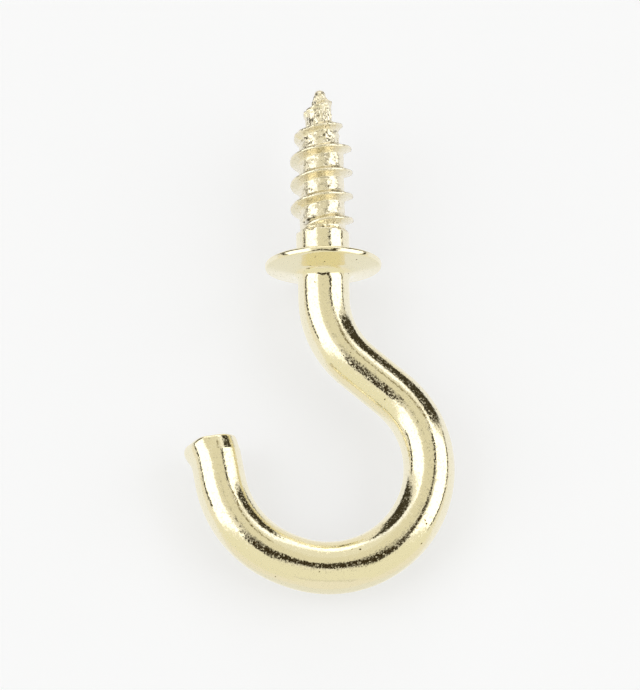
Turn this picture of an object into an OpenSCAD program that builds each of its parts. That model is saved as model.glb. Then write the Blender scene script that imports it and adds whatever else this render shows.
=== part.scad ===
// Shouldered cup hook, bent and rolled from one length of wire.
// The seat of the collar lies at the origin, the screw points up along +Z, and the hook hangs
// below it in the XZ plane with its mouth towards -X.

/* [Wire] */
// Diameter of the wire where it is straight
wire_d = 3.4; // [3:0.05:4]
// Diameter that the wire loses where it is bent
bend_thinning = 0.02; // [0.02:0.01:0.08]

/* [Collar] */
// Diameter of the collar
collar_d = 7.66; // [6.4:0.02:9]
// Height of the collar's upright rim
rim_h = 0.48; // [0.36:0.02:0.8]
// Rounding of the rim's two edges
rim_edge_r = 0.12; // [0.04:0.02:0.16]
// Slope of the collar's underside, in degrees
collar_slope = 11; // [6:1:20]
// Fillet between the collar's underside and the shank
collar_fillet_r = 0.68; // [0.2:0.02:0.9]

/* [Neck] */
// Diameter of the plain neck on the seat
neck_d = 3.5; // [3.3:0.05:4]
// Length of the plain neck
neck_length = 1.95; // [1.5:0.05:3]

/* [Screw] */
// Length of the screw from the seat to its point
screw_length = 11.92; // [10:0.02:16]
// Diameter over the thread's crests
thread_d = 4.14; // [3.8:0.02:4.8]
// Diameter of the core between the ridges
core_d = 2.98; // [2.6:0.02:3.2]
// Rise of the thread in one turn, right-handed
pitch = 1.65; // [1.3:0.05:2.2]
// Width of the ridge at its foot
ridge_foot_w = 0.62; // [0.5:0.02:0.8]
// Width of the ridge at its crest
ridge_crest_w = 0.28; // [0.16:0.02:0.4]
// Length over which the crests taper to the point
point_length = 4.3; // [3:0.1:6]
// Length over which the core tapers to the nub
core_taper_length = 3.9; // [2.5:0.1:5]
// Diameter of the blunt nub that ends the point
nub_d = 0.72; // [0.4:0.02:1]
// Height of the nub's rounded end
nub_h = 0.4; // [0.2:0.05:0.6]

/* [Hook] */
// Length of straight shank from the seat to the first bend
shank_length = 2.55; // [2:0.05:5]
// Centre-line radius of the bend that leads out to the ring
lead_bend_r = 6; // [4:0.1:8]
// Turn of that bend, in degrees
lead_bend_turn = 48.7; // [35:0.1:60]
// Length of the straight link between the two bends
link_length = 3.05; // [1:0.05:5]
// Centre-line radius of the bowl
bowl_r = 6.45; // [5:0.05:9]
// Turn of the bowl, in degrees
bowl_turn = 161.8; // [140:0.1:175]
// Length of the straight heel between the bowl and the lip
heel_length = 0.4; // [0.2:0.05:1.5]
// Centre-line radius of the rising lip
lip_r = 7.2; // [5:0.05:10]
// Turn of the lip, in degrees
lip_turn = 60.7; // [30:0.1:80]
// Length of the straight end above the lip
tip_length = 2.15; // [1.6:0.05:4]

/* [Sheared end] */
// Rounding of the edge of the sheared end
tip_edge_r = 0.2; // [0.05:0.05:0.4]
// How far the shear pushed metal out past the wire on its outer side
burr_out = 0.34; // [0.1:0.02:0.5]
// Length of the end that the shear pushed out
burr_length = 1.35; // [0.8:0.05:1.5]
// Rounding of the burr's edge
burr_edge_r = 0.42; // [0.1:0.02:0.5]

/* [Hidden] */
$fn = 96;
wire_r = wire_d / 2;
bend_r = (wire_d - bend_thinning) / 2;
collar_r = collar_d / 2;
neck_r = neck_d / 2;
core_r = core_d / 2;
crest_r = thread_d / 2;
nub_r = nub_d / 2;
// Overrun of one run of wire into the next
overrun = 0.06;
// Steps along each rounded edge
edge_steps = 6;
// Stations along one turn of the thread
turn_steps = 30;
// Rings on the rounded nub
nub_rings = 3;
// Part of a pitch from the neck's end up to the first full crest
lead_in_share = 2 / 3;
// Part of a turn in which the ridge rises out of the core, and in which it sinks back at the point
run_in_share = 1 / 2;
run_out_share = 1 / 4;
// How full the point's outline is, where 1 is a straight cone
point_fullness_share = 1.15;
// Part of the step from neck to core that the neck's chamfer takes
chamfer_share = 4 / 5;
// How deep the burr's root starts inside the wire, against how far the burr stands out
burr_root_share = 1.05;

// Rounded collar underside: where the fillet's centre and its two ends lie
fillet_x = wire_r + collar_fillet_r;
fillet_z = -rim_h - (collar_r - fillet_x) * tan(collar_slope) - collar_fillet_r / cos(collar_slope);

// Heights on the screw
nub_z = screw_length - nub_h;
core_taper_z = nub_z - core_taper_length;
crest_taper_z = screw_length - point_length;
first_crest_z = neck_length + pitch * lead_in_share;
thread_foot_z = neck_length - pitch / 2;
thread_top_z = nub_z - ridge_foot_w / 2;
chamfer_w = (neck_r - core_r) * chamfer_share;

// Stations of the thread, counted from where the ridge rises out of the core
first_turn = -run_in_share;
stations = floor(((thread_top_z - first_crest_z) / pitch - first_turn) * turn_steps) - 1;

function limited(t) = max(0, min(1, t));
function eased(t) = pow(limited(t), 2) * (3 - 2 * limited(t));
function blend(a, b, t) = a + (b - a) * limited(t);

// Points of an arc about a centre, from one angle to another
function arc(centre, r, from, to) = [
    for (i = [0 : edge_steps])
        let (a = from + (to - from) * i / edge_steps)
        centre + r * [cos(a), sin(a)]
];

// Radius of the core and of the crests at a height
function core_at(z) = blend(core_r, nub_r, (z - core_taper_z) / core_taper_length);
function crest_at(z) =
    blend(crest_r, nub_r, pow(limited((z - crest_taper_z) / point_length), point_fullness_share));

// Place of a station: turns made, height of the ridge's middle and height of the ridge
function turn_at(k) = first_turn + k / turn_steps;
function crest_z(k) = first_crest_z + pitch * turn_at(k);
function ridge_h(k) =
    max(0, crest_at(crest_z(k)) - core_at(crest_z(k)))
    * eased(k / turn_steps / run_in_share)
    * eased((stations - k) / turn_steps / run_out_share);

function on_screw(turn, r, z) = [r * cos(360 * turn), r * sin(360 * turn), z];

// The four corners of the ridge at a station, from its lower foot to its upper foot
function ridge_points(k) = [
    for (corner = [[-ridge_foot_w, 0], [-ridge_crest_w, 1], [ridge_crest_w, 1], [ridge_foot_w, 0]])
        let (z = crest_z(k) + corner[0] / 2)
        on_screw(turn_at(k), core_at(z) + corner[1] * ridge_h(k), z)
];

// Two triangles over the four corners of one cell
function cell(a, b, c, d) = [[a, d, c], [a, c, b]];
// Triangles from one corner over a row of points
function fan(corner, row) = [for (i = [0 : len(row) - 2]) [corner, row[i], row[i + 1]]];
function joined(lists) = [for (list = lists) for (item = list) item];

// Thread with its core, closed below inside the neck and above by the nub
module thread() {
    last = stations;
    full = turn_steps;
    top = last - full;
    function foot(i) = i % full;
    function ridge(k, j) = full + 4 * k + j;
    function nub(m, i) = full + 4 * (last + 1) + m * full + i % full;
    apex = nub(nub_rings, 0);
    base = apex + 1;

    points = concat(
        [for (i = [0 : full - 1]) on_screw(turn_at(i), core_r, thread_foot_z)],
        joined([for (k = [0 : last]) ridge_points(k)]),
        [
            for (m = [0 : nub_rings - 1])
                for (i = [0 : full - 1])
                    let (a = 90 * m / nub_rings)
                    on_screw(turn_at(last + i), nub_r * cos(a), nub_z + nub_h * sin(a))
        ],
        [[0, 0, screw_length], [0, 0, thread_foot_z]]
    );

    flanks = joined([
        for (k = [0 : last - 1])
            for (j = [0 : 2])
                cell(ridge(k, j), ridge(k + 1, j), ridge(k + 1, j + 1), ridge(k, j + 1))
    ]);
    roots = joined([
        for (k = [0 : top - 1])
            cell(ridge(k, 3), ridge(k + 1, 3), ridge(k + 1 + full, 0), ridge(k + full, 0))
    ]);
    skirt = joined([
        for (i = [0 : full - 2]) cell(foot(i), foot(i + 1), ridge(i + 1, 0), ridge(i, 0))
    ]);
    skirt_seam = fan(foot(full - 1), [
        ridge(full - 1, 0), ridge(full, 0),
        ridge(0, 3), ridge(0, 2), ridge(0, 1), ridge(0, 0), foot(0)
    ]);
    shoulder = joined([
        for (i = [1 : full - 1])
            cell(ridge(top + i, 3), ridge(top + i + 1, 3), nub(0, i + 1), nub(0, i))
    ]);
    shoulder_seam = fan(ridge(top + 1, 3), [
        ridge(top, 3), ridge(last, 0), ridge(last, 1), ridge(last, 2), ridge(last, 3),
        nub(0, 0), nub(0, 1)
    ]);
    dome = joined([
        for (m = [0 : nub_rings - 2])
            for (i = [0 : full - 1])
                cell(nub(m, i), nub(m, i + 1), nub(m + 1, i + 1), nub(m + 1, i))
    ]);
    ends = joined([
        for (i = [0 : full - 1]) [
            [nub(nub_rings - 1, i), apex, nub(nub_rings - 1, i + 1)],
            [foot(i), foot(i + 1), base]
        ]
    ]);
    polyhedron(
        points,
        concat(flanks, roots, skirt, skirt_seam, shoulder, shoulder_seam, dome, ends),
        convexity = 10
    );
}

// Neck, collar and straight shank, turned about the screw's axis
module collar() {
    rotate_extrude()
        polygon(concat(
            [[0, neck_length + chamfer_w], [0, -shank_length - overrun], [wire_r, -shank_length - overrun]],
            arc([fillet_x, fillet_z], collar_fillet_r, 180, 90 + collar_slope),
            arc([collar_r - rim_edge_r, -rim_h + rim_edge_r], rim_edge_r, -90 + collar_slope, 0),
            arc([collar_r - rim_edge_r, -rim_edge_r], rim_edge_r, 0, 90),
            [[neck_r, 0], [neck_r, neck_length], [neck_r - chamfer_w, neck_length + chamfer_w]]
        ));
}

// Straight run of wire downwards, with the next run at its end
module straight(length) {
    translate([0, 0, -length - overrun])
        cylinder(r = wire_r, h = length + 2 * overrun);
    translate([0, 0, -length])
        children();
}

// Bend out of the downward run, towards +X for a positive turn, with the next run at its end
module bend(r, turn) {
    side = sign(turn);
    translate([side * r, 0, 0]) {
        rotate([-90, 0, 90 + 90 * side])
            rotate_extrude(angle = abs(turn))
                translate([r, 0])
                    circle(r = bend_r);
        rotate([0, -turn, 0])
            translate([-side * r, 0, 0])
                children();
    }
}

// Straight end of the wire, sheared square, with the burr on the ring's outer side
module sheared_end(length) {
    rotate([180, 0, 0]) {
        rotate_extrude()
            polygon(concat(
                [[0, length], [0, -overrun], [wire_r, -overrun]],
                arc([wire_r - tip_edge_r, length - tip_edge_r], tip_edge_r, 0, 90)
            ));
        translate([burr_out, 0, 0])
            rotate_extrude()
                polygon(concat(
                    [[0, length], [0, length - burr_length]],
                    [
                        for (i = [0 : edge_steps])
                            let (t = i / edge_steps)
                            [
                                wire_r - burr_out * burr_root_share * (1 - eased(t)),
                                length - blend(burr_length, burr_edge_r, t)
                            ]
                    ],
                    arc([wire_r - burr_edge_r, length - burr_edge_r], burr_edge_r, 0, 90)
                ));
    }
}

// The whole hook, from the screw's point to the sheared end
module cup_hook() {
    color("#D8C68C") {
        thread();
        collar();
        translate([0, 0, -shank_length])
            bend(lead_bend_r, lead_bend_turn)
                straight(link_length)
                    bend(bowl_r, -bowl_turn)
                        straight(heel_length)
                            bend(lip_r, -lip_turn)
                                sheared_end(tip_length);
    }
}

cup_hook();
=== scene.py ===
"""Brass-plated cup hook, dressed for its photograph.

The hook is one length of steel wire, and here it is one closed surface: a tube whose rows run from
the screw's point over the thread, neck and collar, down the shank and round the ring to the sheared
end. Sizes are in millimetres. They start from the part's source and are matched to the photograph,
and the surface stays in the solid's box.
"""

from __future__ import annotations

import logging
import math
from dataclasses import dataclass, field, fields
from enum import Enum
from typing import Any

import bpy
import numpy as np
from mathutils import Matrix, Vector

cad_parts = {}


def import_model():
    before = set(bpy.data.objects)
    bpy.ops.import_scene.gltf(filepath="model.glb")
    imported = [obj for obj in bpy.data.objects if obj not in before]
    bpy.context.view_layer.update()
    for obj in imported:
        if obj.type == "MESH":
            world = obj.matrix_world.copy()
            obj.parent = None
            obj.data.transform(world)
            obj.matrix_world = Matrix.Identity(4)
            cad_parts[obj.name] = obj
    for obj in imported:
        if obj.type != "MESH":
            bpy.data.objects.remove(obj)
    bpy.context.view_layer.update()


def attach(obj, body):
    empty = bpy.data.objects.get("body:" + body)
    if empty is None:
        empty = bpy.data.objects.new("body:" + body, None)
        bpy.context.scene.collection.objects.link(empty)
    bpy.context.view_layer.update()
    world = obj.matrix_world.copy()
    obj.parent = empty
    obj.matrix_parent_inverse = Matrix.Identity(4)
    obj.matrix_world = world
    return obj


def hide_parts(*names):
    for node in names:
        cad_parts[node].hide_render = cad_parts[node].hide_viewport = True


LOG = logging.getLogger("cup_hook")
MM = 0.001


def linear(hex_colour: str) -> tuple[float, float, float, float]:
    """Turns an sRGB hex colour to linear light.

    Args:
        hex_colour: Six hex digits with a leading mark, such as "#D8C68C".

    Returns:
        Red, green, blue and an alpha of 1, in linear light.
    """
    parts = np.array([int(hex_colour[i : i + 2], 16) for i in (1, 3, 5)]) / 255.0
    light = np.where(parts <= 0.04045, parts / 12.92, ((parts + 0.055) / 1.055) ** 2.4)
    return (float(light[0]), float(light[1]), float(light[2]), 1.0)


def add_node(
    tree: bpy.types.NodeTree,
    kind: str,
    settings: dict[str, Any] | None = None,
    inputs: dict[str | int, Any] | None = None,
) -> bpy.types.Node:
    """Adds a node with its settings, values and links.

    Args:
        tree: Node tree that gets the node.
        kind: Blender's name of the node's type.
        settings: Values of the node's own properties.
        inputs: Values of its input sockets, by name or number. An output socket is linked.

    Returns:
        The new node.
    """
    node = tree.nodes.new(kind)
    for name, value in (settings or {}).items():
        setattr(node, name, value)
    for name, value in (inputs or {}).items():
        if isinstance(value, bpy.types.NodeSocket):
            tree.links.new(value, node.inputs[name])
        else:
            node.inputs[name].default_value = value
    return node


def eased(t: np.ndarray) -> np.ndarray:
    """Smooth step from 0 to 1: 3t squared less 2t cubed, with t held between 0 and 1."""
    t = np.clip(t, 0.0, 1.0)
    return t * t * (3.0 - 2.0 * t)


def running_sum(values: np.ndarray, step: float) -> np.ndarray:
    """Sum so far, from 0, of the mean of each two neighbours times the step between them."""
    return np.concatenate([[0.0], np.cumsum(0.5 * (values[1:] + values[:-1]) * step)])


def round_angles(columns: int) -> np.ndarray:
    """Even angles once round a row, in radians, from 0."""
    return np.linspace(0.0, 2.0 * math.pi, columns, endpoint=False)


class RunKind(Enum):
    """How a run of the wire goes on."""

    STRAIGHT = "straight"
    BEND_OUT = "bend towards +X"
    BEND_BACK = "bend towards -X"


@dataclass(frozen=True)
class WireRun:
    """One run of the wire's centre line, straight or bent to a radius."""

    kind: RunKind
    length: float
    radius: float = math.inf

    @property
    def curvature(self) -> float:
        """Turn in radians per millimetre, positive towards +X."""
        sign = {RunKind.STRAIGHT: 0.0, RunKind.BEND_OUT: 1.0, RunKind.BEND_BACK: -1.0}
        return sign[self.kind] / self.radius

    @classmethod
    def bend(cls, kind: RunKind, radius: float, turn: float) -> WireRun:
        """A bend of a centre-line radius in mm and a turn in degrees."""
        return cls(kind, radius * math.radians(turn), radius)


@dataclass
class TubeRows:
    """Rows of points round the wire, each a ring about a centre in the XZ plane.

    A point is centre + radius * (cos v * N + sin v * Y) + lift * T, where v goes once round the row,
    T = (sin t, 0, -cos t) is the way the wire runs, N = (cos t, 0, sin t) is square to it and t is
    the row's turn. Along is the length from the seat, and rolled the share of the roller's marks.
    """

    centre: np.ndarray
    turn: np.ndarray
    radius: np.ndarray
    lift: np.ndarray
    along: np.ndarray
    rolled: np.ndarray

    @classmethod
    def upright(
        cls, z: np.ndarray, radius: np.ndarray, columns: int, rolled: float = 0.0
    ) -> TubeRows:
        """Rows about the screw's axis.

        Args:
            z: Height of each row in mm.
            radius: Radius of each row, or of each point of each row.
            columns: Points in a row.
            rolled: Share of the thread roller's marks on these rows.

        Returns:
            The rows, with no turn.
        """
        shape = (len(z), columns)
        ring = radius if radius.ndim == 2 else np.repeat(radius[:, None], columns, axis=1)
        return cls(
            centre=np.stack([np.zeros_like(z), z], axis=1),
            turn=np.zeros_like(z),
            radius=ring,
            lift=np.zeros(shape),
            along=-z,
            rolled=np.full(shape, rolled),
        )

    @classmethod
    def joined(cls, parts: list[TubeRows]) -> TubeRows:
        """All rows of the parts, one after another."""
        names = [item.name for item in fields(cls)]
        return cls(**{n: np.concatenate([getattr(p, n) for p in parts]) for n in names})

    def points(self) -> np.ndarray:
        """Points of all rows in mm.

        Returns:
            Array of shape (rows, columns, 3).
        """
        v = round_angles(self.radius.shape[1])
        sin_t, cos_t = np.sin(self.turn)[:, None], np.cos(self.turn)[:, None]
        out = self.radius * np.cos(v)
        x = self.centre[:, :1] + out * cos_t + self.lift * sin_t
        y = self.radius * np.sin(v)
        z = self.centre[:, 1:] + out * sin_t - self.lift * cos_t
        return np.stack([x, y, z], axis=2)

    def wire_place(self) -> np.ndarray:
        """Places on the wire as if it were straight, for patterns that run along it.

        Returns:
            Array of shape (rows, columns, 3) in mm: two ways across the wire, then along it.
        """
        v = round_angles(self.radius.shape[1])
        along = np.repeat(self.along[:, None], len(v), axis=1)
        return np.stack([self.radius * np.cos(v), self.radius * np.sin(v), along], axis=2)


@dataclass(frozen=True)
class BrassPlate:
    """Brass plate: bright electroplate over drawn steel wire.

    The eye sees a pale greenish yellow mirror that is slightly grainy, because the plate follows the
    wire's fine drawn skin. It is duller and pitted where the thread was rolled.
    """

    name: str = "brass_electroplate_bright"
    colour: str = "#F5EED3"
    dull_colour: str = "#F5EED9"
    speck_colour: str = "#6A5630"
    speck_share: float = 0.0008
    roughness: float = 0.06
    grain_mm: float = 0.09
    grain_roughness: float = 0.34
    grain_tilt: float = 0.036
    grain_lean: float = 0.06
    grain_rarity: float = 4.0
    rolled_roughness: float = 0.11
    rolled_tilt: float = 2.8
    line_mm: float = 0.22
    line_stretch: float = 20.0
    line_detail: float = 3.0
    line_limits: tuple[float, float] = (0.3, 0.7)
    line_dulling: tuple[float, float] = (0.75, 1.3)

    def material(self) -> bpy.types.Material:
        """Makes the plate's material.

        Returns:
            A material on Object coordinates and on the mesh's attributes rolled and wire_place.
        """
        material = bpy.data.materials.new(self.name)
        material.use_nodes = True
        tree = material.node_tree
        tree.nodes.clear()
        rolled = add_node(
            tree, "ShaderNodeAttribute", {"attribute_name": "rolled"}
        ).outputs["Fac"]
        # Fine grain of the plate, drawn coarser than the real one so that it shows
        place = add_node(tree, "ShaderNodeTexCoord").outputs["Object"]
        grain = add_node(
            tree,
            "ShaderNodeTexVoronoi",
            {"feature": "F1"},
            {"Vector": place, "Scale": 1.0 / (self.grain_mm * MM)},
        ).outputs
        # Each grain is a facet of its own: most are smooth and lie flat, a few are rough and lean
        draw = add_node(
            tree,
            "ShaderNodeTexWhiteNoise",
            {"noise_dimensions": "3D"},
            {"Vector": grain["Position"]},
        ).outputs["Value"]
        rough_share = add_node(
            tree, "ShaderNodeMath", {"operation": "POWER"}, {0: draw, 1: self.grain_rarity}
        ).outputs["Value"]
        shader = add_node(
            tree,
            "ShaderNodeBsdfPrincipled",
            {},
            {
                "Base Color": self.tone(tree, rolled, grain["Color"]),
                "Metallic": 1.0,
                "Roughness": self.dullness(tree, rolled, rough_share),
                "Normal": self.facing(tree, rolled, rough_share, grain["Color"]),
            },
        )
        add_node(tree, "ShaderNodeOutputMaterial", {}, {"Surface": shader.outputs["BSDF"]})
        return material

    def tone(
        self, tree: bpy.types.NodeTree, rolled: bpy.types.NodeSocket, draw: bpy.types.NodeSocket
    ) -> bpy.types.NodeSocket:
        """Colour of the plate, a little whiter where it was rolled.

        Args:
            tree: The material's node tree.
            rolled: Share of the thread roller's marks.
            draw: Random colour of each grain.

        Returns:
            The colour.
        """
        plate = add_node(
            tree,
            "ShaderNodeMix",
            {"data_type": "RGBA"},
            {"Factor": rolled, "A": linear(self.colour), "B": linear(self.dull_colour)},
        ).outputs["Result"]
        # Pores in the plate: here and there a grain is a dark speck
        red = add_node(tree, "ShaderNodeSeparateColor", {}, {"Color": draw}).outputs["Red"]
        speck = add_node(
            tree,
            "ShaderNodeMath",
            {"operation": "GREATER_THAN"},
            {0: red, 1: 1.0 - self.speck_share},
        ).outputs["Value"]
        return add_node(
            tree,
            "ShaderNodeMix",
            {"data_type": "RGBA"},
            {"Factor": speck, "A": plate, "B": linear(self.speck_colour)},
        ).outputs["Result"]

    def dullness(
        self,
        tree: bpy.types.NodeTree,
        rolled: bpy.types.NodeSocket,
        rough_share: bpy.types.NodeSocket,
    ) -> bpy.types.NodeSocket:
        """Roughness of the plate, more on its rough grains and where it was rolled.

        Args:
            tree: The material's node tree.
            rolled: Share of the thread roller's marks.
            rough_share: How rough each grain is, from 0 to 1.

        Returns:
            The roughness.
        """
        wire = add_node(
            tree, "ShaderNodeAttribute", {"attribute_name": "wire_place"}
        ).outputs["Vector"]
        # Drawn lines run along the wire, so the pattern is stretched along its length
        stretched = add_node(
            tree,
            "ShaderNodeVectorMath",
            {"operation": "MULTIPLY"},
            {0: wire, 1: (1.0, 1.0, 1.0 / self.line_stretch)},
        ).outputs["Vector"]
        lines = add_node(
            tree,
            "ShaderNodeTexNoise",
            {"noise_dimensions": "3D"},
            {"Vector": stretched, "Scale": 1.0 / self.line_mm, "Detail": self.line_detail},
        ).outputs["Fac"]
        rough = add_node(
            tree,
            "ShaderNodeMapRange",
            {},
            {
                "Value": lines,
                "From Min": self.line_limits[0],
                "From Max": self.line_limits[1],
                "To Min": self.roughness * self.line_dulling[0],
                "To Max": self.roughness * self.line_dulling[1],
            },
        ).outputs["Result"]
        for share, gain in ((rough_share, self.grain_roughness), (rolled, self.rolled_roughness)):
            rough = add_node(
                tree,
                "ShaderNodeMath",
                {"operation": "MULTIPLY_ADD"},
                {0: share, 1: gain, 2: rough},
            ).outputs["Value"]
        return rough

    def facing(
        self,
        tree: bpy.types.NodeTree,
        rolled: bpy.types.NodeSocket,
        rough_share: bpy.types.NodeSocket,
        draw: bpy.types.NodeSocket,
    ) -> bpy.types.NodeSocket:
        """Normal of the plate: each grain leans by its random colour, less a half, times a tilt.

        Args:
            tree: The material's node tree.
            rolled: Share of the thread roller's marks.
            rough_share: How rough each grain is, from 0 to 1.
            draw: Random colour of each grain.

        Returns:
            The normal.
        """
        tilt = add_node(
            tree,
            "ShaderNodeMath",
            {"operation": "MULTIPLY_ADD"},
            {0: rough_share, 1: self.grain_lean, 2: self.grain_tilt},
        ).outputs["Value"]
        # The thread roller left the grains of the screw steeper
        steeper = add_node(
            tree,
            "ShaderNodeMath",
            {"operation": "MULTIPLY_ADD"},
            {0: rolled, 1: self.rolled_tilt, 2: 1.0},
        ).outputs["Value"]
        tilt = add_node(
            tree, "ShaderNodeMath", {"operation": "MULTIPLY"}, {0: tilt, 1: steeper}
        ).outputs["Value"]
        way = add_node(
            tree,
            "ShaderNodeVectorMath",
            {"operation": "SUBTRACT"},
            {0: draw, 1: (0.5, 0.5, 0.5)},
        ).outputs["Vector"]
        lean = add_node(
            tree, "ShaderNodeVectorMath", {"operation": "SCALE"}, {0: way, "Scale": tilt}
        ).outputs["Vector"]
        normal = add_node(tree, "ShaderNodeNewGeometry").outputs["Normal"]
        leant = add_node(
            tree, "ShaderNodeVectorMath", {"operation": "ADD"}, {0: normal, 1: lean}
        ).outputs["Vector"]
        return add_node(
            tree, "ShaderNodeVectorMath", {"operation": "NORMALIZE"}, {0: leant}
        ).outputs["Vector"]


@dataclass(frozen=True)
class RolledSkin:
    """Uneven skin that the thread roller and the shear leave, as a sum of seeded waves.

    The waves' lengths are in mm, and hold on a piece of the diameter given, about the screw's core.
    """

    seed: int = 11
    waves: int = 48
    lengths: tuple[float, float] = (0.22, 0.8)
    around_d: float = 2.98

    def marks(self, v: np.ndarray, z: np.ndarray) -> np.ndarray:
        """Marks of the skin on a round piece.

        Each wave is sin(k v + m z + phase), with a whole k so that it closes round the piece, a
        length between the two limits and a height that grows with the length.

        Args:
            v: Angles round the piece in radians, one row.
            z: Heights in mm, one column.

        Returns:
            Marks with a mean square of 1, for each height and angle.
        """
        draw = np.random.default_rng(self.seed)
        length = draw.uniform(*self.lengths, self.waves)
        way = draw.uniform(0.0, math.pi, self.waves)
        phase = draw.uniform(0.0, 2.0 * math.pi, self.waves)
        k = np.round(2.0 * math.pi / length * np.cos(way) * self.around_d / 2.0)
        m = 2.0 * math.pi / length * np.sin(way)
        waves = np.sin(v[..., None] * k + z[..., None] * m + phase)
        marks = (waves * length).sum(axis=2)
        return marks / np.sqrt((marks**2).mean())


@dataclass
class WoodScrew:
    """Rolled wood screw above its plain neck, with a gimlet point that ends in a nub.

    The lead-in and border shares are parts of the pitch, counted from the neck's end and from a
    crest. A dullness is added to the rows' share of the roller's marks.
    """

    neck_d: float = 3.5
    neck_length: float = 1.95
    length: float = 11.92
    thread_d: float = 4.14
    core_d: float = 2.98
    pitch: float = 1.65
    turns: float = 5.2
    lead_in_share: float = 0.52
    run_in_turns: float = 0.5
    run_out_turns: float = 0.12
    ridge_crest_w: float = 0.14
    ridge_upper_w: float = 0.42
    ridge_lower_w: float = 0.36
    ridge_hollow: float = 1.5
    border_share: float = 0.54
    root_share: float = 0.85
    core_taper_length: float = 3.9
    point_length: float = 4.3
    point_fullness: float = 1.15
    nub_d: float = 0.78
    nub_h: float = 0.4
    nub_fullness: float = 0.8
    nub_dullness: float = 2.0
    nub_top_angle: float = 84.0
    shoulder_rise: float = 0.1
    shoulder_length: float = 0.22
    shoulder_raggedness: float = 4.0
    mark_depth: float = 0.007
    mark_fade_top: float = 0.1
    mark_fade_foot: float = 0.2
    coarse_from: float = 7.4
    coarse_length: float = 1.6
    coarse_gain: float = 2.0
    coarse_dullness: float = 0.35
    foot_overlap: float = 0.3
    nub_row_count: int = 10
    thread_row_count: int = 330
    skin: RolledSkin = RolledSkin()

    @property
    def nub_z(self) -> float:
        """Height of the nub's foot above the seat."""
        return self.length - self.nub_h

    @property
    def foot_z(self) -> float:
        """Height of the lowest row, inside the neck."""
        return self.neck_length - self.foot_overlap

    def core_at(self, z: np.ndarray) -> np.ndarray:
        """Radius of the core: even, then a straight taper to the nub.

        Args:
            z: Heights above the seat in mm.

        Returns:
            The radius at each height.
        """
        share = np.clip((z - self.nub_z + self.core_taper_length) / self.core_taper_length, 0.0, 1.0)
        return self.core_d / 2 + (self.nub_d - self.core_d) / 2 * share

    def crest_at(self, z: np.ndarray) -> np.ndarray:
        """Radius of the crests: even, then a slightly full cone to the point.

        Args:
            z: Heights above the seat in mm.

        Returns:
            The radius at each height.
        """
        share = np.clip((z - self.length + self.point_length) / self.point_length, 0.0, 1.0)
        return self.thread_d / 2 + (self.nub_d - self.thread_d) / 2 * share**self.point_fullness

    def nub_rows(self, columns: int) -> TubeRows:
        """Rows of the nub's dome, a quarter ellipse made a little fuller.

        Args:
            columns: Points in a row.

        Returns:
            Rows from the point down to the nub's foot.
        """
        a = np.linspace(math.radians(self.nub_top_angle), 0.0, self.nub_row_count, endpoint=False)
        radius = self.nub_d / 2 * np.cos(a) ** self.nub_fullness
        return TubeRows.upright(
            self.nub_z + self.nub_h * np.sin(a), radius, columns, rolled=self.nub_dullness
        )

    def thread_rows(self, columns: int) -> TubeRows:
        """Rows of the threaded length, as a height field over the screw's axis.

        At each point the distance d along the axis to the nearest crest of the helix is taken. The
        radius is the root plus the ridge, whose section falls from the crest's edge as a power of
        the share left to its foot, and the roller's marks. A root is the core with its taper drawn
        out by the root share, about the border between two ridges, so that most of the taper falls
        on the ridges.

        Args:
            columns: Points in a row.

        Returns:
            Rows from the nub down to the neck.
        """
        z = np.linspace(self.nub_z, self.foot_z, self.thread_row_count)[:, None]
        v = np.linspace(0.0, 1.0, columns, endpoint=False)[None, :]
        first = self.neck_length + self.pitch * self.lead_in_share
        phase = (z - first) / self.pitch - v
        turn = np.round(phase - (self.border_share - 0.5))
        d = (phase - turn) * self.pitch
        made = turn + v
        at = first + self.pitch * made
        run_in = eased((made + self.run_in_turns) / self.run_in_turns)
        fade = run_in * eased((self.turns - made) / self.run_out_turns)
        border = np.where(d > 0.0, self.border_share, self.border_share - 1.0) * self.pitch
        root = self.core_at(at + border + (1.0 - self.root_share * fade) * (d - border))
        height = np.maximum(self.crest_at(at) - root, 0.0) * fade
        flank = np.where(d > 0.0, self.ridge_upper_w, self.ridge_lower_w)
        share = (np.abs(d) - self.ridge_crest_w / 2) / (flank - self.ridge_crest_w / 2)
        ridge = (1.0 - np.clip(share, 0.0, 1.0)) ** self.ridge_hollow
        coarse = eased((z - self.coarse_from) / self.coarse_length)
        depth = self.mark_depth * (1.0 + self.coarse_gain * coarse)
        marks = depth * self.skin.marks(2.0 * math.pi * v, z)
        marked = eased((self.nub_z - z) / self.mark_fade_top)
        marked = marked * eased((z - self.foot_z) / self.mark_fade_foot)
        shoulder_z = self.neck_length + self.shoulder_rise + self.shoulder_raggedness * marks
        shoulder = eased((shoulder_z - z) / self.shoulder_length)
        core = root + (self.neck_d - self.core_d) / 2 * shoulder
        radius = core + height * ridge * (1.0 - shoulder) + marks * marked
        rows = TubeRows.upright(z[:, 0], radius, columns)
        rows.rolled = np.repeat(marked + self.coarse_dullness * coarse, columns, axis=1)
        return rows


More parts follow.
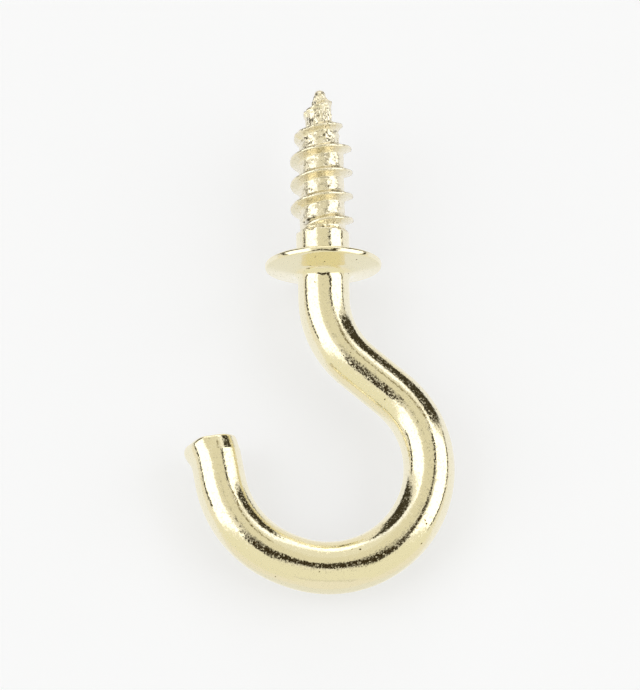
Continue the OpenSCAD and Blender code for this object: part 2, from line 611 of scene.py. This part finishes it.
@dataclass
class BentWire:
    """Wire below the collar: a shank, a lead bend, a link, the bowl, a heel, the lip and a tip.

    The gauge is the wire's radius, thinner where it is bent and towards the end, at shares of the
    wire's length.
    """

    diameter: float = 3.38
    gauge_shares: tuple[float, ...] = (0.0, 0.1, 0.22, 0.4, 0.52, 0.64, 0.76, 0.9, 1.0)
    gauge: tuple[float, ...] = (1.69, 1.69, 1.665, 1.65, 1.67, 1.688, 1.675, 1.655, 1.64)
    shank_length: float = 2.55
    lead_bend_r: float = 6.0
    lead_bend_turn: float = 48.7
    link_length: float = 3.05
    bowl_r: float = 6.45
    bowl_turn: float = 159.8
    heel_length: float = 0.4
    lip_r: float = 6.8
    lip_turn: float = 58.7
    tip_length: float = 2.85
    ease_length: float = 0.8
    fine_step: float = 0.005
    first_row: float = 1.55
    row_count: int = 262

    @property
    def runs(self) -> list[WireRun]:
        """Runs of the wire from the collar's seat to the sheared end."""
        return [
            WireRun(RunKind.STRAIGHT, self.shank_length),
            WireRun.bend(RunKind.BEND_OUT, self.lead_bend_r, self.lead_bend_turn),
            WireRun(RunKind.STRAIGHT, self.link_length),
            WireRun.bend(RunKind.BEND_BACK, self.bowl_r, self.bowl_turn),
            WireRun(RunKind.STRAIGHT, self.heel_length),
            WireRun.bend(RunKind.BEND_BACK, self.lip_r, self.lip_turn),
            WireRun(RunKind.STRAIGHT, self.tip_length),
        ]

    @property
    def length(self) -> float:
        """Length of the centre line from the seat to the sheared end."""
        return sum(run.length for run in self.runs)

    def centre_line(self, s: np.ndarray) -> tuple[np.ndarray, np.ndarray]:
        """Places on the wire's centre line.

        The curvature of each run is constant, and eases from one run to the next. Its running sum is
        the turn t, and the running sum of (sin t, -cos t) is the place.

        Args:
            s: Lengths from the collar's seat in mm.

        Returns:
            Centres as x and z, and turns in radians.
        """
        fine = np.arange(0.0, self.length + self.fine_step, self.fine_step)
        ends = np.cumsum([run.length for run in self.runs])
        bent = np.array([run.curvature for run in self.runs])
        raw = bent[np.minimum(np.searchsorted(ends, fine, side="right"), len(bent) - 1)]
        half = round(self.ease_length / 2.0 / self.fine_step)
        kernel = np.hanning(2 * half + 1)
        curvature = np.convolve(np.pad(raw, half, mode="edge"), kernel / kernel.sum(), mode="valid")
        turn = running_sum(curvature, self.fine_step)
        x = running_sum(np.sin(turn), self.fine_step)
        z = running_sum(-np.cos(turn), self.fine_step)
        centre = np.stack([np.interp(s, fine, x), np.interp(s, fine, z)], axis=1)
        return centre, np.interp(s, fine, turn)

    def radius_at(self, s: np.ndarray) -> np.ndarray:
        """Radius of the wire at lengths from the seat, straight from one gauge to the next."""
        return np.interp(s / self.length, self.gauge_shares, self.gauge)

    def rows(self, end_length: float, columns: int) -> TubeRows:
        """Rows of the bent wire, rings carried along the centre line.

        Args:
            end_length: Length of the sheared end, which has rows of its own.
            columns: Points in a row.

        Returns:
            Rows from the collar's fillet to the start of the sheared end.
        """
        s = np.linspace(self.first_row, self.length - end_length, self.row_count)
        centre, turn = self.centre_line(s)
        shape = (len(s), columns)
        return TubeRows(
            centre=centre,
            turn=turn,
            radius=np.repeat(self.radius_at(s)[:, None], columns, axis=1),
            lift=np.zeros(shape),
            along=s,
            rolled=np.zeros(shape),
        )


@dataclass
class Collar:
    """Collar upset from the wire, with the seat on top and a sloped underside.

    The rim's two roundings are given as width and height. The dullness of the neck and the gloss of
    the underside change the rows' share of the roller's marks.
    """

    diameter: float = 7.65
    rim_h: float = 0.48
    rim_top: tuple[float, float] = (0.4, 0.22)
    rim_foot: tuple[float, float] = (0.08, 0.26)
    slope: float = 11.0
    fillet_r: float = 0.68
    seat_fillet_r: float = 0.08
    neck_end: float = 0.12
    neck_overlap: float = 0.03
    arc_gap: float = 0.05
    neck_dullness: float = 0.15
    neck_fade: float = 0.2
    underside_gloss: float = 0.25
    underside_depth: float = 0.1
    underside_fade: float = 0.3
    rim_foot_angles: tuple[float, float] = (-4.0, -86.0)
    arc_row_count: int = 9
    neck_row_count: int = 10
    seat_row_count: int = 10
    slope_row_count: int = 14

    def arc(
        self, x: float, z: float, r: tuple[float, float], start: float, end: float
    ) -> np.ndarray:
        """Points of an arc, as radius and height, about (x, z) from one angle to another."""
        a = np.radians(start + (end - start) * np.linspace(0.0, 1.0, self.arc_row_count))
        return np.stack([x + r[0] * np.cos(a), z + r[1] * np.sin(a)], axis=1)

    def profile(self, screw: WoodScrew, wire: BentWire) -> np.ndarray:
        """Profile of the neck, seat, rim, sloped underside and fillet.

        It is made of straights and arcs: an arc is its centre plus its width times the cosine, and
        its height times the sine, of an angle. The rim's upper arc is wide and low.

        Args:
            screw: The screw, for its neck.
            wire: The wire, for its diameter.

        Returns:
            Points as radius and height, from the neck down to the shank.
        """
        drop = math.tan(math.radians(self.slope))
        neck, outer, top, foot = screw.neck_d / 2, self.diameter / 2, self.rim_top, self.rim_foot
        fillet_x = wire.diameter / 2 + self.fillet_r
        fillet_z = -self.rim_h - (outer - fillet_x) * drop
        fillet_z -= self.fillet_r / math.cos(math.radians(self.slope))
        slope_out = foot[0] + 2.0 * self.arc_gap
        slope_in = outer - fillet_x - self.arc_gap
        underside = np.linspace(slope_out, slope_in, self.slope_row_count)
        neck_top = screw.foot_z - self.neck_overlap
        neck_z = np.linspace(neck_top, self.neck_end, self.neck_row_count)
        seat_in = neck + 2.0 * self.seat_fillet_r
        seat_x = np.linspace(seat_in, outer - top[0] - self.arc_gap, self.seat_row_count)
        return np.concatenate(
            [
                np.stack([np.full_like(neck_z, neck), neck_z], axis=1),
                self.arc(
                    neck + self.seat_fillet_r,
                    self.seat_fillet_r,
                    (self.seat_fillet_r, self.seat_fillet_r),
                    180.0,
                    270.0,
                ),
                np.stack([seat_x, np.zeros_like(seat_x)], axis=1),
                self.arc(outer - top[0], -top[1], top, 90.0, 0.0),
                self.arc(outer - foot[0], -self.rim_h + foot[1], foot, *self.rim_foot_angles),
                np.stack([outer - underside, -self.rim_h - underside * drop], axis=1),
                self.arc(
                    fillet_x, fillet_z, (self.fillet_r, self.fillet_r), 90.0 + self.slope, 180.0
                ),
            ]
        )

    def rows(self, screw: WoodScrew, wire: BentWire, columns: int) -> TubeRows:
        """Rows of the collar, its profile turned about the screw's axis.

        Args:
            screw: The screw above the collar.
            wire: The wire below it.
            columns: Points in a row.

        Returns:
            Rows from the neck down to the shank.
        """
        profile = self.profile(screw, wire)
        height = profile[:, 1:]
        rows = TubeRows.upright(profile[:, 1], profile[:, 0], columns)
        rows.rolled += self.neck_dullness * eased(height / self.neck_fade)
        below = -self.underside_depth - height
        rows.rolled -= self.underside_gloss * eased(below / self.underside_fade)
        return rows


@dataclass
class ShearedEnd:
    """End of the wire as the shear left it: bulged outside, rolled over inside and torn across.

    A side is the cosine of the angle round the wire, 1 on the ring's outer side.
    """

    edge_r: float = 0.2
    burr_out: float = 0.4
    burr_length: float = 1.75
    burr_edge_r: float = 0.62
    burr_edge_side: float = 0.3
    back_angle: float = 35.0
    back_share: float = 0.62
    back_width: float = 0.5
    back_length: float = 1.1
    outer_length: float = 1.6
    rollover_depth: float = 0.14
    rollover_length: float = 1.0
    rollover_side: float = 0.35
    tear_depth: float = 0.06
    tear_mark_depth: float = 0.02
    tear_mark_r: float = 1.6
    tear_start: float = -0.35
    tear_fade: float = 0.5
    tear_rim_share: float = 0.25
    hub_share: float = 0.03
    burr_row_count: int = 34
    edge_row_count: int = 11
    face_row_count: int = 22
    skin: RolledSkin = RolledSkin()

    def rows(self, wire: BentWire, columns: int) -> TubeRows:
        """Rows of the sheared end.

        Up the end, the ring's outer side bulges where the shear pushed metal out: the rise is eased
        along the wire, and round it in two parts, one over the outer half and a larger one turned to
        the back. The inner side is rolled over by a straight taper. The outline then turns in over
        an edge that is a quarter ellipse, well rounded on the bulge and tight elsewhere, and shrinks
        to the middle of the end face, which is smooth on the inner side and torn on the outer.

        Args:
            wire: The wire that ends here.
            columns: Points in a row.

        Returns:
            Rows from the start of the bulge to near the middle of the end face.
        """
        v = round_angles(columns)[None, :]
        side = np.cos(v)
        outer = eased((side - self.burr_edge_side) / (1.0 - self.burr_edge_side))
        inner = eased((self.rollover_side - side) / self.rollover_side)
        edge = self.edge_r + (self.burr_edge_r - self.edge_r) * outer
        up = np.linspace(0.0, 1.0, self.burr_row_count)[1:, None]
        a = np.linspace(0.0, 0.5 * math.pi, self.edge_row_count)[1:, None]
        inwards = np.linspace(1.0, self.hub_share, self.face_row_count)[1:, None]
        reach_up = -self.burr_length + up * (self.burr_length - edge)
        reach_edge = -edge * (1.0 - np.sin(a))
        flat = np.zeros_like(inwards) * edge
        reach = np.concatenate([reach_up, reach_edge, flat])
        pulled = np.concatenate([np.zeros_like(reach_up), edge * (1.0 - np.cos(a)), flat + edge])
        shrink = np.concatenate([np.ones_like(up), np.ones_like(a), inwards])
        bulged = reach + self.burr_length
        back = np.cos(v - math.radians(self.back_angle))
        back = eased((back - 1.0 + self.back_width) / self.back_width)
        rise = self.back_share * back * eased(bulged / self.back_length)
        rise += (1.0 - self.back_share) * eased(side) * eased(bulged / self.outer_length)
        over = np.clip(1.0 + reach / self.rollover_length, 0.0, 1.0)
        taper = self.rollover_depth * inner * over
        radius = wire.radius_at(wire.length + reach) + self.burr_out * rise - taper - pulled
        radius = radius * shrink
        torn = eased((radius * side - self.tear_start) / self.tear_fade)
        torn = torn * eased((1.0 - shrink) / self.tear_rim_share)
        marks = self.tear_mark_depth * self.skin.marks(v, self.tear_mark_r * shrink)
        sunk = np.minimum(torn * (marks - self.tear_depth), 0.0)
        centre, turn = wire.centre_line(np.full(len(reach), wire.length))
        return TubeRows(
            centre=centre,
            turn=turn,
            radius=radius,
            lift=reach + sunk,
            along=wire.length + reach.mean(axis=1),
            rolled=torn,
        )


@dataclass
class CupHook:
    """The cup hook, a single length of wire from the screw's point to the sheared end."""

    name: str = "cup_hook_plated"
    columns: int = 128
    screw: WoodScrew = field(default_factory=WoodScrew)
    collar: Collar = field(default_factory=Collar)
    wire: BentWire = field(default_factory=BentWire)
    end: ShearedEnd = field(default_factory=ShearedEnd)
    finish: BrassPlate = field(default_factory=BrassPlate)

    def rows(self) -> TubeRows:
        """All rows from the screw's point to the sheared end."""
        return TubeRows.joined(
            [
                self.screw.nub_rows(self.columns),
                self.screw.thread_rows(self.columns),
                self.collar.rows(self.screw, self.wire, self.columns),
                self.wire.rows(self.end.burr_length, self.columns),
                self.end.rows(self.wire, self.columns),
            ]
        )

    def build(self) -> bpy.types.Object:
        """Makes the hook's mesh: quads between the rows, and a fan of triangles at each end.

        Returns:
            The hook's object, at the origin.
        """
        rows = self.rows()
        points = rows.points()
        count, columns = points.shape[:2]
        point = np.array([[0.0, 0.0, self.screw.length]])
        middle = points[-1].mean(axis=0, keepdims=True)
        vertices = np.concatenate([points.reshape(-1, 3), point, middle]) * MM
        i, j = np.meshgrid(np.arange(count - 1), np.arange(columns), indexing="ij")
        k = (j + 1) % columns
        quads = np.stack(
            [i * columns + j, (i + 1) * columns + j, (i + 1) * columns + k, i * columns + k], axis=2
        ).reshape(-1, 4)
        c = np.arange(columns)
        n = (c + 1) % columns
        last = (count - 1) * columns
        point_fan = np.stack([np.full(columns, count * columns), c, n], axis=1)
        end_fan = np.stack([last + c, np.full(columns, count * columns + 1), last + n], axis=1)
        mesh = bpy.data.meshes.new(self.name)
        mesh.from_pydata(
            vertices.tolist(), [], quads.tolist() + point_fan.tolist() + end_fan.tolist()
        )
        mesh.polygons.foreach_set("use_smooth", np.ones(len(mesh.polygons), dtype=bool))
        ends = np.array([[0.0, 0.0, -self.screw.length], [0.0, 0.0, self.wire.length]])
        place = np.concatenate([rows.wire_place().reshape(-1, 3), ends])
        mesh.attributes.new("wire_place", "FLOAT_VECTOR", "POINT").data.foreach_set(
            "vector", place.astype(np.float32).ravel()
        )
        rolled = np.concatenate([rows.rolled.ravel(), [1.0, 0.0]])
        mesh.attributes.new("rolled", "FLOAT", "POINT").data.foreach_set(
            "value", rolled.astype(np.float32)
        )
        mesh.update()
        hook = bpy.data.objects.new(self.name, mesh)
        bpy.context.scene.collection.objects.link(hook)
        return hook

    def dress(self, hook: bpy.types.Object) -> None:
        """Plates the hook, ties it to its body and hides the imported part that it stands in for.

        Args:
            hook: The hook's object.
        """
        hook.data.materials.append(self.finish.material())
        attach(hook, "root")
        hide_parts("cup_hook")


@dataclass
class PhotoCamera:
    """Camera at the photograph's angle: it looks slightly up at the hook, rolled a little.

    The aim and the distance are in mm, the climb and the roll in degrees. The lens's length and half
    the picture's height are in pixels.
    """

    aim: tuple[float, float, float] = (-0.3185, 0.0, -5.644)
    distance: float = 182.0
    climb: float = 15.4
    roll: float = 1.15
    lens_px: float = 2800.0
    half_height_px: float = 345.0
    sensor_mm: float = 36.0
    clip_m: tuple[float, float] = (0.01, 10.0)

    def axes(self) -> tuple[Vector, Vector, Vector]:
        """The camera's right, up and forward directions.

        Returns:
            Three unit vectors in the part's frame.
        """
        e, r = math.radians(self.climb), math.radians(self.roll)
        forward = Vector((0.0, math.cos(e), math.sin(e)))
        level, upright = Vector((1.0, 0.0, 0.0)), Vector((0.0, -math.sin(e), math.cos(e)))
        right = level * math.cos(r) - upright * math.sin(r)
        up = upright * math.cos(r) + level * math.sin(r)
        return right, up, forward

    def build(self) -> bpy.types.Object:
        """Makes the camera and makes it the scene's.

        Returns:
            The camera's object.
        """
        right, up, forward = self.axes()
        data = bpy.data.cameras.new("photo_camera")
        data.sensor_width = self.sensor_mm
        data.lens = self.sensor_mm / 2.0 / (self.half_height_px / self.lens_px)
        data.clip_start, data.clip_end = self.clip_m
        camera = bpy.data.objects.new("photo_camera", data)
        place = (Vector(self.aim) - forward * self.distance) * MM
        turned = Matrix((right, up, -forward)).transposed().to_4x4()
        camera.matrix_world = Matrix.Translation(place) @ turned
        bpy.context.scene.collection.objects.link(camera)
        bpy.context.scene.camera = camera
        return camera


@dataclass(frozen=True)
class LightCard:
    """A soft-edged card of the studio tent, by the direction in which the hook sees it.

    Angles are in degrees. The azimuth goes from -Y towards +X, the elevation from the XY plane
    towards +Z. A brightness near 0 is a gap in the tent.
    """

    name: str
    azimuth: float
    elevation: float
    half_width: float
    half_height: float
    brightness: float
    colour: str = "#FFFFFF"
    turn: float = 0.0
    soft: float = 4.0

    def light(self) -> tuple[float, float, float, float]:
        """The card's colour in linear light, times its brightness."""
        red, green, blue, _ = linear(self.colour)
        return (red * self.brightness, green * self.brightness, blue * self.brightness, 1.0)

    def lay_over(
        self, tree: bpy.types.NodeTree, place: bpy.types.NodeSocket, light: bpy.types.NodeSocket
    ) -> bpy.types.NodeSocket:
        """Lays the card over the light that is there already.

        The place is moved, turned and scaled so that the card is the square from -1 to 1, and the
        card's share falls smoothly from 1 to 0 over its soft edge, in both ways.

        Args:
            tree: The world's node tree.
            place: Azimuth and elevation in radians.
            light: Light under the card.

        Returns:
            Light with the card.
        """
        half = (math.radians(self.half_width), math.radians(self.half_height), 1.0)
        square = add_node(
            tree,
            "ShaderNodeMapping",
            {"vector_type": "TEXTURE", "label": self.name},
            {
                "Vector": place,
                "Location": (math.radians(self.azimuth), math.radians(self.elevation), 0.0),
                "Rotation": (0.0, 0.0, math.radians(self.turn)),
                "Scale": half,
            },
        ).outputs["Vector"]
        reach = add_node(
            tree, "ShaderNodeVectorMath", {"operation": "ABSOLUTE"}, {0: square}
        ).outputs["Vector"]
        edge = (self.soft / self.half_width, self.soft / self.half_height)
        share = add_node(
            tree,
            "ShaderNodeMapRange",
            {"data_type": "FLOAT_VECTOR", "interpolation_type": "SMOOTHSTEP"},
            {
                "Vector": reach,
                "From Min": (1.0 - edge[0], 1.0 - edge[1], 0.0),
                "From Max": (1.0 + edge[0], 1.0 + edge[1], 1.0),
                "To Min": (1.0, 1.0, 1.0),
                "To Max": (0.0, 0.0, 0.0),
            },
        ).outputs["Vector"]
        parts = add_node(tree, "ShaderNodeSeparateXYZ", {}, {"Vector": share})
        both = add_node(
            tree,
            "ShaderNodeMath",
            {"operation": "MULTIPLY"},
            {0: parts.outputs["X"], 1: parts.outputs["Y"]},
        ).outputs["Value"]
        return add_node(
            tree,
            "ShaderNodeMix",
            {"data_type": "RGBA"},
            {"Factor": both, "A": light, "B": self.light()},
        ).outputs["Result"]


@dataclass(frozen=True)
class TranslucentSheet:
    """Matt white sheet of translucent plastic, lit a little from behind.

    The eye sees an even, cool white that takes the hook's soft shadow. From its back it is clear, so
    that it hides nothing there.
    """

    name: str = "translucent_white_sheet"
    colour: str = "#B9BCC8"
    glow: float = 0.5

    def material(self) -> bpy.types.Material:
        """Makes the sheet's material.

        Returns:
            A dull glowing white on the sheet's face, and nothing on its back.
        """
        material = bpy.data.materials.new(self.name)
        material.use_nodes = True
        tree = material.node_tree
        tree.nodes.clear()
        back = add_node(tree, "ShaderNodeNewGeometry").outputs["Backfacing"]
        face = add_node(
            tree,
            "ShaderNodeBsdfPrincipled",
            {},
            {
                "Base Color": linear(self.colour),
                "Roughness": 1.0,
                "Specular IOR Level": 0.0,
                "Emission Color": (1.0, 1.0, 1.0, 1.0),
                "Emission Strength": self.glow,
            },
        )
        clear = add_node(tree, "ShaderNodeBsdfTransparent")
        shown = add_node(
            tree,
            "ShaderNodeMixShader",
            {},
            {0: back, 1: face.outputs["BSDF"], 2: clear.outputs["BSDF"]},
        )
        add_node(tree, "ShaderNodeOutputMaterial", {}, {"Surface": shown.outputs["Shader"]})
        return material


@dataclass
class Studio:
    """Plain pale sheet behind the hook, and a white light tent with gaps round the camera.

    The tent's cards are laid one over another in their order. They stand for what the hook mirrors:
    the sheet with its foot in painted shade, floor and ceiling, two softboxes, the wall in front,
    and dark gaps, seams and a slit.
    """

    sheet_tilt: float = 5.0
    sheet_half: float = 300.0
    sheet_behind: float = 3.9
    sheet_finish: TranslucentSheet = TranslucentSheet()
    ground: LightCard = LightCard("ground", 0.0, 0.0, 180.0, 90.0, 0.94)
    tent: LightCard = LightCard("tent", 0.0, 0.0, 180.0, 90.0, 0.905, "#FFFAEB")
    cards: tuple[LightCard, ...] = (
        LightCard("sheet_left", -140.0, 13.0, 40.5, 35.0, 0.955, soft=3.0),
        LightCard("sheet_right", 140.0, 13.0, 40.5, 35.0, 0.955, soft=3.0),
        # Painted shade: the sheet's foot just behind the collar is darker where the hook's shadow
        # falls on it, as the collar's underside mirrors it
        LightCard("sheet_foot_shade_left", -162.0, -40.0, 22.0, 22.0, 0.865, "#FFFEF6", soft=4.0),
        LightCard("sheet_foot_shade_right", 162.0, -40.0, 22.0, 22.0, 0.865, "#FFFEF6", soft=4.0),
        LightCard("floor", 0.0, -45.0, 105.0, 25.0, 0.88, "#FFFBE1", soft=8.0),
        LightCard("ceiling", 8.0, 75.0, 58.0, 12.5, 1.8, "#FFFBEC", turn=2.0, soft=2.5),
        LightCard("left_ceiling_edge", -36.0, 45.0, 5.5, 18.0, 1.15, turn=3.0, soft=3.0),
        LightCard("right_ceiling_edge", 34.0, 54.0, 9.5, 16.5, 1.4, turn=-6.0, soft=3.0),
        LightCard("left_softbox", -50.5, 2.5, 26.0, 19.5, 1.7, "#FFFDF4", turn=9.0, soft=2.5),
        LightCard("right_softbox", 58.0, 5.0, 24.5, 23.5, 1.7, "#FFFDF4", turn=-12.0, soft=2.5),
        LightCard("front_wall_top", 0.0, 45.0, 27.0, 20.0, 0.86, "#FFFBE7", turn=7.0, soft=5.0),
        LightCard("front_wall", 2.0, 20.0, 25.0, 14.0, 0.8, "#FFF9DE", soft=4.0),
        LightCard("left_gap", -78.5, 45.0, 35.0, 17.0, 0.05, "#FFEAB2", turn=9.0, soft=3.0),
        LightCard("right_gap", 81.5, 47.5, 34.0, 16.5, 0.05, "#FFEAB2", turn=3.0, soft=3.0),
        LightCard("left_seam", -80.5, 5.0, 4.0, 18.0, 0.05, "#FFEAB2", turn=29.0, soft=1.5),
        LightCard("right_seam", 87.0, 3.0, 3.0, 27.0, 0.05, "#FFEAB2", turn=-19.0, soft=1.5),
        LightCard("front_seam", 25.5, 12.5, 12.0, 3.5, 0.04, "#FFEAB2", turn=46.0, soft=1.5),
        LightCard("front_seam_top", 26.0, 28.5, 14.0, 2.4, 0.25, "#FFEAB2", turn=-8.0, soft=1.5),
        LightCard("slit_left", -12.0, -6.6, 18.5, 6.8, 0.04, "#FFDA91", turn=40.0, soft=2.0),
        LightCard("slit_right", 12.5, -12.0, 16.5, 8.4, 0.04, "#FFDA91", turn=-35.0, soft=2.0),
        LightCard("slit_top", 0.0, -3.6, 4.5, 10.8, 0.04, "#FFDA91", turn=-4.0, soft=2.0),
        LightCard("slit_side", 20.5, -2.5, 6.0, 7.5, 0.05, "#FFDA91", soft=2.0),
        LightCard("slit_light", 8.5, 3.5, 7.0, 1.9, 0.6, "#FFF9DE", turn=-50.0, soft=1.5),
        LightCard("floor_edge", 8.5, -70.0, 61.0, 3.0, 0.75, "#FFFBE7", turn=-5.0, soft=1.5),
    )

    def build(self) -> bpy.types.Object:
        """Makes the tent's light and then the sheet, and returns the sheet's object."""
        self.light_tent()
        return self.lay_sheet()

    def lay_sheet(self) -> bpy.types.Object:
        """Lays the pale sheet that the hook rests on, a plane just behind the collar.

        The hook doesn't mirror it: cards of the tent stand for it there.

        Returns:
            The sheet's object, which isn't part of the hook.
        """
        tilt = math.radians(self.sheet_tilt)
        along = np.array([0.0, math.sin(tilt), math.cos(tilt)])
        across = np.array([1.0, 0.0, 0.0])
        middle = np.array([0.0, self.sheet_behind, 0.0])
        corner = np.array([[-1, -1], [1, -1], [1, 1], [-1, 1]]) * self.sheet_half
        points = middle + corner[:, :1] * across + corner[:, 1:] * along
        mesh = bpy.data.meshes.new("floor_sheet")
        mesh.from_pydata((points * MM).tolist(), [], [[0, 1, 2, 3]])
        mesh.update()
        sheet = bpy.data.objects.new("floor_sheet", mesh)
        bpy.context.scene.collection.objects.link(sheet)
        sheet.data.materials.append(self.sheet_finish.material())
        sheet.visible_glossy = False
        return sheet

    def light_tent(self) -> None:
        """Makes the tent's light from its cards, with a plain pale ground for the camera."""
        world = bpy.data.worlds.new("studio_tent")
        world.use_nodes = True
        tree = world.node_tree
        tree.nodes.clear()
        way = add_node(
            tree,
            "ShaderNodeSeparateXYZ",
            {},
            {"Vector": add_node(tree, "ShaderNodeTexCoord").outputs["Generated"]},
        ).outputs
        front = add_node(
            tree, "ShaderNodeMath", {"operation": "MULTIPLY"}, {0: way["Y"], 1: -1.0}
        ).outputs["Value"]
        azimuth = add_node(
            tree, "ShaderNodeMath", {"operation": "ARCTAN2"}, {0: way["X"], 1: front}
        ).outputs["Value"]
        elevation = add_node(
            tree, "ShaderNodeMath", {"operation": "ARCSINE"}, {0: way["Z"]}
        ).outputs["Value"]
        place = add_node(
            tree, "ShaderNodeCombineXYZ", {}, {"X": azimuth, "Y": elevation}
        ).outputs["Vector"]
        light = add_node(tree, "ShaderNodeRGB").outputs["Color"]
        light.default_value = self.tent.light()
        for card in self.cards:
            light = card.lay_over(tree, place, light)
        seen = add_node(tree, "ShaderNodeLightPath").outputs["Is Camera Ray"]
        shown = add_node(
            tree,
            "ShaderNodeMix",
            {"data_type": "RGBA"},
            {"Factor": seen, "A": light, "B": self.ground.light()},
        ).outputs["Result"]
        ground = add_node(tree, "ShaderNodeBackground", {}, {"Color": shown, "Strength": 1.0})
        add_node(tree, "ShaderNodeOutputWorld", {}, {"Surface": ground.outputs["Background"]})
        bpy.context.scene.world = world


def main() -> None:
    """Builds the camera, the studio and the hook."""
    logging.basicConfig(level=logging.INFO, format="%(name)s: %(message)s")
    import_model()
    bpy.context.scene.view_settings.view_transform = "Standard"
    PhotoCamera().build()
    sheet = Studio().build()
    cup_hook = CupHook()
    hook = cup_hook.build()
    cup_hook.dress(hook)
    for piece in (sheet, hook):
        LOG.info("%s: %d faces", piece.name, len(piece.data.polygons))


if __name__ == "__main__":
    main()
